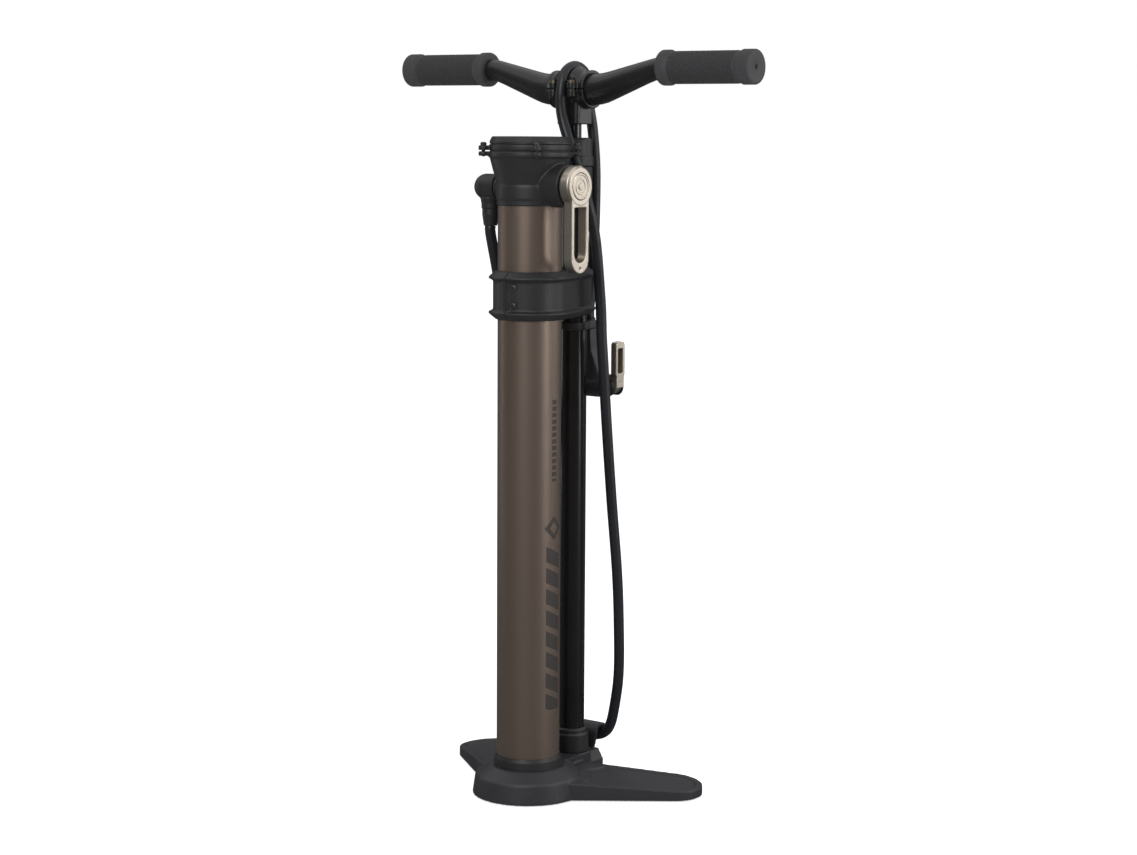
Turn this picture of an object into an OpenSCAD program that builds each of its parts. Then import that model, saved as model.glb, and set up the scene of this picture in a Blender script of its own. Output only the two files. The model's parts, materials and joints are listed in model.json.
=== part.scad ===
// Track floor pump: a slim pumping barrel and a wide air chamber side by side on one base,
// a gauge head on the chamber, a T handle on the piston rod and a hose looped over the handle.
// The barrel axis is the Z axis. The chamber stands in front of it, toward -Y. The floor is z = 0.

/* [Chamber] */
// Outside diameter of the air chamber tube
chamber_od = 65; // [55:0.5:76]
// Wall of the chamber tube
chamber_wall = 1.5; // [1:0.1:2.5]
// Distance between the barrel axis and the chamber axis
axis_gap = 74; // [70:1:84]
// Height of the joint where the chamber tube meets the head
head_z = 606; // [480:1:720]

/* [Barrel] */
// Outside diameter of the pumping barrel
barrel_od = 28; // [24:0.5:32]
// Wall of the barrel tube
barrel_wall = 1.3; // [1:0.1:2]
// Diameter of the piston rod
rod_od = 14; // [10:0.5:16]
// Radial play of a sliding or turning fit
fit_play = 0.05; // [0.02:0.01:0.1]

/* [Handle] */
// Height of the grip axis above the clamped middle of the bar
bar_rise = 21; // [10:1:30]
// Distance from the middle of the bar to the outer end of a grip
handle_half = 220; // [180:1:260]
// Diameter of the bar where the stem clamps it
bar_od = 31.8; // [28:0.1:35]
// Diameter of the bar inside the grips
bar_end_od = 22.2; // [22:0.2:26]
// Wall of the bar
bar_wall = 2; // [1.5:0.1:3]
// Length of a grip
grip_len = 110; // [90:1:130]
// Diameter of a grip
grip_od = 32; // [29:0.5:36]
// Diameter of the flanges of a grip
grip_flange_od = 35.6; // [33:0.2:42]
// Gap between the stem and the barrel cap with the handle stored
stem_gap = 13.5; // [12:0.5:30]

/* [Base] */
// Radius of the base under the chamber
disc_r = 57.3; // [50:0.5:66]
// Height of the base under the chamber
disc_h = 31; // [30:1:36]
// Distance from the middle plane to the centre of a wing's round end
wing_x = 124; // [110:1:150]
// Radius of a wing's round end
wing_r = 30; // [22:1:34]
// Height of a wing at its root
wing_root_h = 19.5; // [16:0.5:24]
// Height of a wing at its tip
wing_tip_h = 13; // [9:0.5:15]

/* [Head and gauge] */
// Radius of the lower flange of the head
flange_r = 42.4; // [40:0.2:48]
// Radius of the circle of flange screws
ear_circle = 47.2; // [46:0.2:56]
// Length of the release lever from its axis to its tip
lever_len = 86.5; // [60:0.5:95]
// Width of the lever's loop
lever_w = 27.8; // [24:0.2:34]
// Width of the slot in the lever's loop
lever_slot_w = 19.4; // [12:0.2:20]

/* [Hose] */
// Outside diameter of the hose
hose_od = 11; // [9:0.5:12]

/* [Pump head] */
// Radius of the valve bore in the pump head
valve_r = 4.1; // [4:0.05:4.5]
// Length of the thumb lever from its pin to its tip
thumb_len = 48; // [36:1:56]

/* [Hidden] */
$fn = 96;
eps = 0.01;

// tubes
cy = -axis_gap;                       // Y of the chamber axis
chamber_r = chamber_od / 2;
chamber_in = chamber_r - chamber_wall;
barrel_r = barrel_od / 2;
barrel_in = barrel_r - barrel_wall;
rod_r = rod_od / 2;
slip = 0.1;                           // radial room where one part is pushed over another

// base
floor_gap = 1;                        // underside of the base above the floor
foot_r = 10;
foot_h = 4;
pocket_z = 18;                        // floor of the pockets that take the two tubes
seal_t = 1.5;
tube_z = pocket_z + seal_t;           // lower ends of both tubes
duct_z = 11;
duct_r = 2.5;
ring_h = 11.5;                        // foot ring that shows above the base
nut_top = 56;
boss_h = 30;
wing_y = 12;                          // Y of the centre of a wing's round end
front_dir = 37;                       // direction of the wing's front edge, degrees from X
back_dir = 27;                        // direction of the wing's back edge
rim_w = 7;                            // raised rim round a wing
rim_h = 1.8;

// hose hook behind the barrel
hook_y = 38.5;
hook_z = 42;
hook_in = hose_od / 2 + 1.8;
hook_out = hook_in + 3.8;
hook_w = 26;
hook_neck = 16;                       // width where the hook leaves the block
block_y = 35;                         // back face of the block under the hook
block_h = 26;

// head
collar_top = head_z + 21;
port_z = head_z + 18;                 // axis of the outlet
lever_z = head_z + 20.5;              // axis of the release valve
flange_z = head_z + 49;
flange_t = 5.3;
gasket_t = 1.2;
case_z = flange_z + flange_t + gasket_t;
case_t = 6.5;
bezel_z = case_z + case_t + 0.1;
bezel_t = 7.1;
case_r = flange_r - 1.3;
bezel_r = case_r - 0.2;
dial_r = bezel_r - 6.9;
dial_z = case_z - 1.5;
tube_top = head_z + 6;
ear_r = 5;
screw_r = 1.75;
boss_r = 21.5;
boss_x = 50;
port_boss_x = -38;
elbow_x = -51;
elbow_r = 13.3;
ball_x = elbow_x - 4.5;               // end of the elbow's level part
ferrule_top = port_z - 22;
ferrule_z = ferrule_top - 17.4;
knob_r = 20.5;
knob_t = 12.8;
knob_x = boss_x + 1;
arm_t = 10.6;
spool_r = 6;
spool_bore_x = 12;                    // blind end of the valve bore
inlet_x = 24;                         // hole that lets chamber air into the valve
inlet_r = 1.6;
SEAL_PLACES = [17, 44];
cavity_h = 35;
bridge_r = 10;

// barrel top
collar_r = barrel_r + 4.6;
cap_z = head_z + 39;
cap_top = head_z + 68;
cap_r = barrel_r + 4.4;
barrel_top = cap_z + 10;
bush_h = 12;

// band that ties the two tubes
band_z = head_z - 89.5;
band_h = 49;
rim_out = 9.2;                        // reach of the band's rims outside the tubes
panel_out = 4.7;
rib_out = 1.7;                        // height of the rib beside the seam
lap_out = 2.5;
lap_h = 27;
screw_seat = panel_out - 0.4;         // seat of the band's screws outside the tubes
web_t = 18;
lap_deg = 20;

// pump head
neck_x = -1;
neck_y = 28.5;
dock_z = head_z - 129;
neck_z = head_z - 119;
chuck_z = head_z - 190;
chuck_r = 11.5;
mouth_x = -20;
pin_x = 30;
thumb_w = 15;
thumb_t = 7;
tongue_w = 12.6;

// piston and handle
piston_z = 38;
piston_h = 14;
stem_z = cap_top + stem_gap;
bar_z = stem_z + 35.5;
grip_z = bar_z + bar_rise;
stem_w = 28;
clamp_half = 23.5;
channel = hose_od / 2 + 1.3;
channel_r = bar_od / 2 + 1.1;
ring_r = bar_od / 2 + 3.6;
hump_r = bar_od / 2 + 8;
bolt_x = 11.4;
bolt_y = bar_od / 2 + 5.4;
bar_r = bar_od / 2;
bar_end_r = bar_end_od / 2;
grip_in = handle_half - grip_len;
bend_x = 26;                          // where the bar starts to rise and to get thinner
bend_steps = 12;
bar_sides = 32;

// route of the hose with the head joint at 606: from the ferrule down the left, under the hook,
// up the right
LOWER_ROUTE = [[elbow_x, cy, 584.6], [elbow_x, cy, 576.6], [-49, -66, 540],
    [-48.5, -52, 485], [-49, -34, 420], [-46.5, -18, 340], [-45, -4, 250], [-43, 12, 160],
    [-38, 26, 100], [-28, 34, 64], [-14, 38, 44], [0, 38.5, 39], [14, 38, 42], [25, 36, 53],
    [33, 33, 76], [40, 30, 112], [42, 27, 160], [42, 23, 220], [39, 16, 300], [37, 9, 380],
    [36, 4, 440], [35, 2, 470], [35, 1, 487]];
// then past the clamp, over the handle and down behind the barrel to the pump head
UPPER_ROUTE = [[35, 1, 487], [35, -1, 510], [35, -10, 570], [31, -19, 610], [21, -22, 642],
    [11, -23, 668], [3, -23, 689], [0, -23.4, 704], [0, -23.4, 722], [0, -16.7, 739.7],
    [0, 0, 746.5], [0, 16.7, 739.7], [0, 23.4, 722], [1, 24, 704], [4, 26, 680], [6, 28, 640],
    [5, 29, 590], [2, 30, 545], [0, 30, 515], [neck_x, neck_y, 497], [neck_x, neck_y, 487]];
route_low = 120;                      // below this the route stays where it is
route_high = 440;                     // above this it moves with the head
function lifted(route) = [for (p = route)
    [p[0], p[1], p[2] + (head_z - 606) * max(0, min(1, (p[2] - route_low) / (route_high - route_low)))]];

// a point on a Catmull-Rom curve through four points
function curve_at(a, b, c, d, t) =
    0.5 * (2 * b + (c - a) * t + (2 * a - 5 * b + 4 * c - d) * t * t
        + (3 * b - a - 3 * c + d) * t * t * t);
function pick(p, i) = p[max(0, min(len(p) - 1, i))];
// the route with n steps between neighbouring points
function smooth_route(p, n) = concat(
    [for (i = [0:len(p) - 2]) for (k = [0:n - 1])
        curve_at(pick(p, i - 1), p[i], p[i + 1], pick(p, i + 2), k / n)],
    [p[len(p) - 1]]);
function unit(v) = v / norm(v);
function heading(p, i) = unit(pick(p, i + 1) - pick(p, i - 1));
// side vector of a ring, square to the heading and never parallel to the route
function side_of(t) = unit(cross(t, [1, -1, 0.1]));
function ring_points(p, t, r, sides) =
    let (u = side_of(t), v = cross(t, u))
    [for (k = [0:sides - 1]) p + r * (cos(360 * k / sides) * u + sin(360 * k / sides) * v)];

// a closed round tube along points, with its first and last faces level or given
module sweep(p, r, sides, first = [0, 0, 1], last = [0, 0, 1]) {
    n = len(p);
    rings = [for (i = [0:n - 1])
        ring_points(p[i], i == 0 ? first : i == n - 1 ? last : heading(p, i), r, sides)];
    verts = [for (ring = rings) for (q = ring) q];
    walls = [for (i = [0:n - 2]) for (k = [0:sides - 1])
        let (a = i * sides + k, b = i * sides + (k + 1) % sides)
        each [[a, b, b + sides], [a, b + sides, a + sides]]];
    start = [[for (k = [0:sides - 1]) sides - 1 - k]];
    end = [[for (k = [0:sides - 1]) (n - 1) * sides + k]];
    polyhedron(points = verts, faces = [for (f = concat(start, walls, end))
        [for (k = [len(f) - 1:-1:0]) f[k]]], convexity = 6);
}

module at_chamber() { translate([0, cy, 0]) children(); }
module tube(r, inner, z0, z1) {
    difference() {
        translate([0, 0, z0]) cylinder(r = r, h = z1 - z0);
        translate([0, 0, z0 - 1]) cylinder(r = inner, h = z1 - z0 + 2);
    }
}
// a solid of revolution about Z from [radius, height] points
module turned(points) { rotate_extrude() polygon(points); }
// a round bar along X, from x0 to x1
module bar_x(r, x0, x1) { translate([x0, 0, 0]) rotate([0, 90, 0]) cylinder(r = r, h = x1 - x0); }
module bar_y(r, y0, y1) { translate([0, y0, 0]) rotate([-90, 0, 0]) cylinder(r = r, h = y1 - y0); }
module four_ways(r) {
    for (a = [45:90:315]) rotate([0, 0, a]) translate([r, 0, 0]) children();
}

// ---------------------------------------------------------------- base
function edge_point(reach, dir, side) = [wing_x + side * reach * sin(dir),
    wing_y - side * reach * cos(dir)];
module wing_outline(inset) {
    reach = wing_r - inset;
    front = edge_point(reach, front_dir, 1);
    back = edge_point(reach, back_dir, -1);
    run = wing_x - 34 - inset;
    translate([wing_x, wing_y]) circle(r = reach);
    polygon([front, front - [run, run * tan(front_dir)], [inset, 20 - inset],
        back - [run, run * tan(back_dir)], back]);
}
// everything below the sloping top of a wing, lowered by drop
module below_slope(drop) {
    tilt = atan((wing_root_h - wing_tip_h) / (wing_x - 50));
    translate([50, -250, wing_root_h - drop]) rotate([0, tilt, 0])
        translate([-150, 0, -100]) cube([400, 500, 100]);
}
module wing() {
    difference() {
        intersection() {
            translate([0, 0, floor_gap]) linear_extrude(40) wing_outline(0);
            below_slope(0);
        }
        difference() {
            translate([0, 0, wing_tip_h - rim_h - 4]) linear_extrude(40) wing_outline(rim_w);
            below_slope(rim_h);
            at_chamber() cylinder(r = disc_r + rim_w, h = 60);
            cylinder(r = 46, h = 60);
        }
    }
}
module hook() {
    lip = 25;                         // how far the hook reaches below its middle, degrees
    intersection() {
        translate([-hook_w / 2, hook_y, hook_z]) rotate([90, 0, 90]) linear_extrude(hook_w)
            difference() {
                union() {
                    circle(r = hook_out);
                    translate([-hook_out, 15 - hook_z]) square([hook_out - hook_in, hook_z - 15]);
                }
                circle(r = hook_in);
                translate([-hook_in, -60]) square([hook_in, 60]);
                rotate(-lip - 90) square(60);
            }
        translate([0, 60, 0]) rotate([90, 0, 0]) linear_extrude(60)
            polygon([[-hook_neck / 2, 0], [hook_neck / 2, 0], [hook_neck / 2, 22],
                [hook_w / 2, hook_z + 2], [hook_w / 2, 90], [-hook_w / 2, 90],
                [-hook_w / 2, hook_z + 2], [-hook_neck / 2, 22]]);
    }
}
// block behind the barrel, narrower at the top
module block() {
    translate([0, block_y, 0]) rotate([90, 0, 0]) linear_extrude(block_y)
        polygon([[-17, floor_gap], [17, floor_gap], [17, 16], [11, block_h],
            [-11, block_h], [-17, 16]]);
}
module base_shape() {
    at_chamber() turned([[0, floor_gap], [disc_r, floor_gap], [disc_r - 2.8, 20],
        [disc_r - 3.8, 22], [disc_r - 16.8, disc_h - 1], [disc_r - 18.3, disc_h], [0, disc_h]]);
    wing();
    mirror([1, 0, 0]) wing();
    translate([0, 0, floor_gap]) cylinder(r = barrel_r + 7, h = boss_h - floor_gap);
    block();
    translate([-20, cy + 20, floor_gap]) cube([40, axis_gap - 24, boss_h - 1 - floor_gap]);
    hook();
}
module base_body() {
    color("dimgray") difference() {
        base_shape();
        at_chamber() translate([0, 0, pocket_z]) cylinder(r = chamber_r + slip, h = 60);
        translate([0, 0, pocket_z]) cylinder(r = barrel_r + slip, h = 60);
        // air passage from under the piston to the chamber, drilled from the back
        translate([0, 0, duct_z]) bar_y(duct_r, cy, block_y + 1);
        translate([0, 0, duct_z]) bar_y(duct_r + 1.5, block_y - 8, block_y + 1);
        translate([0, 0, duct_z]) cylinder(r = duct_r, h = 20);
        at_chamber() translate([0, 0, duct_z]) cylinder(r = 6, h = 20);
        foot_places() translate([0, 0, -1]) cylinder(r = foot_r, h = foot_h + 1);
    }
}
module foot_places() {
    children();
    for (s = [-1, 1]) translate([s * (wing_x - 3), wing_y, 0]) children();
    at_chamber() for (a = [-150, -90, -30]) rotate([0, 0, a]) translate([disc_r - 15, 0, 0])
        children();
}
module rubber_feet() { color("black") foot_places() cylinder(r = foot_r, h = foot_h); }
module passage_plug() {
    color("gray") translate([0, 0, duct_z]) difference() {
        bar_y(duct_r + 1.5, block_y - 8, block_y - 1);
        translate([0, block_y - 4, 0]) rotate([-90, 30, 0])
            cylinder(r = 2, h = 5, $fn = 6);
    }
}

// one-way valve under the chamber
seat_z = duct_z + duct_r;
module check_seat() {
    color("goldenrod") at_chamber() translate([0, 0, seat_z]) difference() {
        cylinder(r = 6, h = 2);
        translate([0, 0, -1]) cylinder(r = 2, h = 4);
        translate([0, 0, 4.4]) sphere(r = 3.2);
    }
}
module check_ball() { color("silver") at_chamber() translate([0, 0, seat_z + 4.45]) sphere(r = 3); }
spring_z0 = seat_z + 7.6;
spring_z1 = seat_z + 13;
module check_spring() {
    turns = 3;
    steps = 14 * turns;
    coil = [for (k = [0:steps]) [2 * cos(360 * k * turns / steps),
        2 * sin(360 * k * turns / steps), spring_z0 + 0.4 + (spring_z1 - spring_z0 - 0.8) * k / steps]];
    color("silver") at_chamber() sweep(coil, 0.35, 6, [0, 1, 0.1], [0, 1, 0.1]);
}
module check_cage() {
    color("goldenrod") at_chamber() difference() {
        translate([0, 0, seat_z + 2]) cylinder(r = 6, h = spring_z1 - seat_z);
        translate([0, 0, seat_z + 1]) cylinder(r = 4.4, h = spring_z1 - seat_z - 1);
        cylinder(r = 1.5, h = 60);
        translate([0, 0, spring_z0 + 3]) for (a = [0, 90]) rotate([0, 0, a]) bar_x(1.2, -9, 9);
    }
}

// ---------------------------------------------------------------- chamber
module chamber_foot_seal() {
    color("black") at_chamber() tube(chamber_r, chamber_in - 1, pocket_z, tube_z);
}
module chamber_foot_ring() {
    color("black") at_chamber() difference() {
        turned([[chamber_r - 3, disc_h], [chamber_r + 2.8, disc_h], [chamber_r + 2.2, disc_h + 8],
            [chamber_r + 1, disc_h + ring_h], [chamber_r - 3, disc_h + ring_h]]);
        cylinder(r = chamber_r + slip, h = 100);
    }
}
module chamber_tube() {
    color("rosybrown") at_chamber() tube(chamber_r, chamber_in, tube_z, tube_top);
}
module chamber_head_seal() {
    color("black") at_chamber() tube(chamber_r, chamber_in - 1, tube_top, tube_top + seal_t);
}

// ---------------------------------------------------------------- head
module head_shape() {
    at_chamber() {
        turned([[0, head_z], [chamber_r + 1.1, head_z], [chamber_r + 1.1, head_z + 6.7],
            [chamber_r + 1.8, head_z + 7.2], [chamber_r + 1.8, collar_top - 1],
            [chamber_r + 0.9, collar_top], [chamber_r + 2.7, collar_top + 7],
            [chamber_r + 4.9, collar_top + 14.2], [chamber_r + 6.7, collar_top + 21],
            [chamber_r + 8.4, flange_z - 0.4], [flange_r, flange_z], [flange_r, flange_z + flange_t],
            [0, flange_z + flange_t]]);
        four_ways(ear_circle) translate([0, 0, flange_z + 0.8]) cylinder(r = ear_r, h = flange_t - 0.8);
        four_ways(flange_r - 2) translate([0, -3.4, flange_z + 0.8])
            cube([ear_circle - flange_r + 2, 6.8, flange_t - 0.8]);
        translate([0, 0, lever_z]) bar_x(boss_r, 8, boss_x);
        translate([0, 0, port_z]) bar_x(13, port_boss_x, -8);
    }
    translate([0, 0, head_z]) cylinder(r = collar_r, h = cap_z - head_z);
    translate([-13, cy + 20, head_z + 6]) cube([26, axis_gap - 24, 28]);
}
module head_casting() {
    color("black") difference() {
        head_shape();
        at_chamber() {
            translate([0, 0, head_z - 5]) cylinder(r = chamber_r + slip, h = tube_top + seal_t - head_z + 5);
            // the air space, crossed by a bridge that carries the valve and the duct to the elbow
            difference() {
                translate([0, 0, head_z]) cylinder(r = chamber_in - 1.5, h = cavity_h);
                translate([0, 0, lever_z]) bar_x(bridge_r, -40, 40);
            }
            translate([0, 0, head_z + cavity_h - 2]) cylinder(r = 3, h = 30);
            translate([inlet_x, 0, lever_z]) cylinder(r = inlet_r, h = bridge_r + 2);
            translate([0, 0, head_z + 39]) cylinder(r = case_r - 4, h = 30);
            translate([0, 0, lever_z]) bar_x(spool_r + fit_play, spool_bore_x, boss_x + 1);
            translate([0, 0, port_z]) bar_x(duct_r, port_boss_x - 1, spool_bore_x + 1);
            four_ways(ear_circle) translate([0, 0, flange_z - 1]) cylinder(r = screw_r, h = 10);
        }
        cylinder(r = barrel_r + slip, h = 900);
    }
}
module gauge_gasket() {
    color("darkslategray") at_chamber()
        tube(flange_r - 1.8, case_r - 4, flange_z + flange_t, case_z);
}
module gauge_case() {
    color("black") at_chamber() difference() {
        union() {
            translate([0, 0, head_z + 40]) cylinder(r = case_r - 4.3, h = case_z - head_z - 40);
            turned([[0, case_z - 1.2], [case_r - 4.3, case_z - 1.2], [case_r - 4.3, case_z],
                [case_r, case_z],
                [case_r, case_z + case_t - 1.4], [case_r - 1, case_z + case_t], [0, case_z + case_t]]);
            four_ways(ear_circle) translate([0, 0, case_z]) cylinder(r = ear_r, h = flange_t - 0.6);
            four_ways(case_r - 2) translate([0, -3.4, case_z])
                cube([ear_circle - case_r + 2, 6.8, flange_t - 0.6]);
        }
        translate([0, 0, head_z + 42]) cylinder(r = dial_r + 0.2, h = 60);
        cylinder(r = 4, h = 900);
        four_ways(ear_circle) cylinder(r = screw_r + 0.25, h = 900);
    }
}
gear_z = head_z + 42;
module gauge_socket() {
    color("goldenrod") at_chamber() difference() {
        union() {
            translate([0, 0, head_z + 36]) cylinder(r = 3, h = 3);
            translate([0, 0, head_z + 39]) cylinder(r = 4, h = 4);
            translate([-9, -9, gear_z + 0.05]) cube([18, 18, 3.95]);
            translate([-26, -4, gear_z + 0.05]) cube([18, 8, 3.95]);
        }
        translate([0, 0, gear_z + 2]) cylinder(r = 1.2 + fit_play, h = 9);
        translate([0, 0, head_z + 30]) cylinder(r = 1, h = gear_z - head_z - 29);
    }
}
module bourdon_tube() {
    color("darkgoldenrod") at_chamber() translate([0, 0, gear_z + 5.6]) rotate([0, 0, 175])
        rotate_extrude(angle = 250) translate([22, 0]) square([2.4, 3.2], center = true);
}
module gauge_spindle() {
    color("gold") at_chamber() {
        translate([0, 0, gear_z + 2.1]) cylinder(r = 1.2, h = dial_z + 3.4 - gear_z - 2.1);
        translate([0, 0, gear_z + 5]) cylinder(r = 3.4, h = 3);
    }
}
module gauge_dial() {
    color("white") at_chamber() translate([0, 0, dial_z]) difference() {
        cylinder(r = dial_r, h = 1);
        translate([0, 0, -1]) cylinder(r = 1.6, h = 3);
    }
}
needle_z = dial_z + 3;
// the needle rests at the start of the scale, toward the front left
needle_rest = 225;
module gauge_needle() {
    color("red") at_chamber() translate([0, 0, needle_z]) difference() {
        union() {
            cylinder(r = 3.2, h = 1.6);
            rotate([0, 0, needle_rest]) linear_extrude(0.8)
                polygon([[-9, -1.6], [-9, 1.6], [0, 1.1], [dial_r - 6, 0.3], [dial_r - 6, -0.3], [0, -1.1]]);
        }
        translate([0, 0, -1]) cylinder(r = 1.2, h = 1.4);
    }
}
lens_z = bezel_z + 1.6;
module gauge_lens() {
    color("lightcyan") at_chamber() translate([0, 0, lens_z]) cylinder(r = bezel_r - 4.4, h = 2);
}
module gauge_bezel() {
    color("black") at_chamber() difference() {
        turned([[0, bezel_z], [bezel_r, bezel_z], [bezel_r, bezel_z + 2],
            [bezel_r - 2, bezel_z + bezel_t - 0.8],
            [bezel_r - 2.8, bezel_z + bezel_t], [0, bezel_z + bezel_t]]);
        translate([0, 0, bezel_z - 1]) cylinder(r = bezel_r - 6, h = 30);
        translate([0, 0, lens_z]) cylinder(r = bezel_r - 4.4, h = 2);
        translate([0, 0, lens_z + 1]) cylinder(r1 = bezel_r - 5.4, r2 = bezel_r - 3, h = bezel_t);
    }
}
module button_screw(r, head_r, head_h, len) {
    translate([0, 0, -len]) cylinder(r = r, h = len + eps);
    difference() {
        intersection() {
            cylinder(r = head_r, h = head_h);
            translate([0, 0, head_h - head_r * 1.6]) sphere(r = head_r * 1.6);
        }
        translate([0, 0, head_h - 1.4]) cylinder(r = head_r * 0.45, h = 3, $fn = 6);
    }
}
module flange_screws() {
    color("silver") at_chamber() four_ways(ear_circle)
        translate([0, 0, case_z + flange_t - 0.6]) button_screw(screw_r, 3.1, 3.6, 11);
}

// ---------------------------------------------------------------- release valve
module at_port() { translate([0, cy, lever_z]) children(); }
module valve_spool() {
    color("silver") at_port() difference() {
        bar_x(spool_r, spool_bore_x + 2, knob_x + 4);
        bar_x(2, spool_bore_x, inlet_x + 2);
        translate([inlet_x, 0, 0]) cylinder(r = inlet_r, h = 10);
        bar_x(1.7, 40, 60);
        for (x = SEAL_PLACES) translate([x, 0, 0]) rotate([0, 90, 0]) difference() {
            cylinder(r = spool_r + 1, h = 2.4);
            translate([0, 0, -1]) cylinder(r = spool_r - 1.4, h = 5);
        }
    }
}
module valve_seals() {
    color("black") at_port() for (x = SEAL_PLACES) translate([x + 0.05, 0, 0]) rotate([0, 90, 0])
        difference() {
            cylinder(r = spool_r + fit_play - 0.02, h = 2.3);
            translate([0, 0, -1]) cylinder(r = spool_r - 1.35, h = 5);
        }
}
arm_x = knob_x + 2;
module release_lever() {
    slot_top = -knob_r - 0.5;
    slot_end = -lever_len + 11 + lever_slot_w / 2;
    color("wheat") at_port() difference() {
        union() {
            translate([knob_x, 0, 0]) rotate([0, 90, 0])
                turned([[0, 0], [knob_r - 1.6, 0], [knob_r, 1.6], [knob_r, knob_t - 2.2],
                    [knob_r - 2.2, knob_t], [0, knob_t]]);
            translate([arm_x, -lever_w / 2, -lever_len + lever_w / 2])
                cube([arm_t, lever_w, lever_len - lever_w / 2]);
            translate([0, 0, -lever_len + lever_w / 2]) bar_x(lever_w / 2, arm_x, arm_x + arm_t);
        }
        translate([arm_x - 1, -lever_slot_w / 2, slot_end])
            cube([arm_t + 2, lever_slot_w, slot_top - slot_end]);
        translate([0, 0, slot_end]) bar_x(lever_slot_w / 2, arm_x - 1, arm_x + arm_t + 1);
        bar_x(spool_r, knob_x - 1, knob_x + 4);
        bar_x(1.9, knob_x, knob_x + 20);
        bar_x(4, knob_x + 7, knob_x + 20);
        bar_x(13.6, knob_x + knob_t - 2, knob_x + 20);
        translate([0, 0, -lever_len + 5]) bar_x(1.2, arm_x + arm_t - 3, arm_x + arm_t + 1);
    }
}
module lever_screw() {
    color("silver") at_port() difference() {
        union() {
            bar_x(1.7, 41, knob_x + 7.01);
            bar_x(3.6, knob_x + 7, knob_x + 9.4);
        }
        translate([knob_x + 8, 0, 0]) rotate([0, 90, 0]) cylinder(r = 1.6, h = 3, $fn = 6);
    }
}
module lever_cap() {
    color("linen") at_port() translate([knob_x + knob_t - 2, 0, 0]) rotate([0, 90, 0])
        turned([[0, 0], [13.5, 0], [13.5, 1.9], [12.6, 2.4], [11.4, 2.4], [11, 1.9], [8.6, 1.9],
            [8.2, 2.4], [6.8, 2.4], [6.4, 1.9], [4, 1.9], [3.4, 2.6], [0, 2.8]]);
}

// ---------------------------------------------------------------- outlet
module elbow_seal() {
    color("black") translate([port_boss_x - 1.2, cy, port_z]) rotate([0, 90, 0])
        tube(8, 4, 0, 1.2);
}
module outlet_elbow() {
    end_x = port_boss_x - 1.2;
    color("black") translate([0, cy, 0]) difference() {
        union() {
            translate([0, 0, port_z]) bar_x(elbow_r, ball_x, end_x);
            translate([ball_x, 0, port_z]) sphere(r = elbow_r);
            translate([elbow_x, 0, ferrule_top]) cylinder(r = 9.4, h = 22);
            translate([elbow_x, 0, ferrule_top + 5]) cylinder(r1 = 9.4, r2 = 10.6, h = 6);
        }
        translate([0, 0, port_z]) bar_x(duct_r, elbow_x, end_x + 1);
        translate([elbow_x, 0, ferrule_top - 1]) cylinder(r = duct_r, h = 23);
    }
}
module outlet_ferrule() {
    color("black") translate([elbow_x, cy, 0]) difference() {
        turned([[0, ferrule_z], [hose_od / 2 + 1, ferrule_z], [hose_od / 2 + 1.6, ferrule_z + 1],
            [8.6, ferrule_top - 6], [8.6, ferrule_top], [0, ferrule_top]]);
        cylinder(r = duct_r, h = 900);
    }
}

// ---------------------------------------------------------------- barrel
module barrel_foot_seal() { color("black") tube(barrel_r, barrel_in - 1, pocket_z, tube_z); }
module barrel_foot_nut() {
    color("black") difference() {
        turned([[0, boss_h], [barrel_r + 4.6, boss_h], [barrel_r + 4.6, nut_top - 7],
            [barrel_r + 3.2, nut_top - 5.4], [barrel_r + 3.6, nut_top - 4], [barrel_r + 3.4, nut_top - 1.4],
            [barrel_r + 1.6, nut_top], [0, nut_top]]);
        cylinder(r = barrel_r + slip, h = 200);
    }
}
module barrel_tube() { color("black") tube(barrel_r, barrel_in, tube_z, barrel_top); }
module rod_bush() {
    color("white") tube(barrel_in, rod_r + fit_play, barrel_top - bush_h, barrel_top);
}
wiper_z = cap_top - 7;
module rod_wiper() { color("darkred") tube(rod_r + 3, rod_r + 0.02, wiper_z, cap_top - 2); }
module barrel_cap() {
    color("black") difference() {
        turned([[0, cap_z], [cap_r + 1.4, cap_z], [cap_r + 1.4, cap_z + 9], [cap_r, cap_z + 11],
            [cap_r, cap_top - 2.5], [cap_r - 2.5, cap_top], [0, cap_top]]);
        cylinder(r = barrel_r + slip, h = barrel_top);
        cylinder(r = rod_r + 0.4, h = 900);
        translate([0, 0, wiper_z]) cylinder(r = rod_r + 3, h = cap_top - 2 - wiper_z);
    }
}

// ---------------------------------------------------------------- band round the tubes
// section of the band from bottom to top: [reach outside the tubes, height above its middle]
BAND_SECTION = [[1.1, -band_h / 2], [1.9, -band_h / 2], [rim_out, -18.4], [rim_out, -16.8],
    [panel_out, -14.6], [panel_out, 14.6], [rim_out, 16.8], [rim_out, 18.4], [1.9, band_h / 2],
    [1.1, band_h / 2]];
wrap_steps = 40;                      // sides round the chamber
back_steps = 24;                      // sides round the barrel
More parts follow.
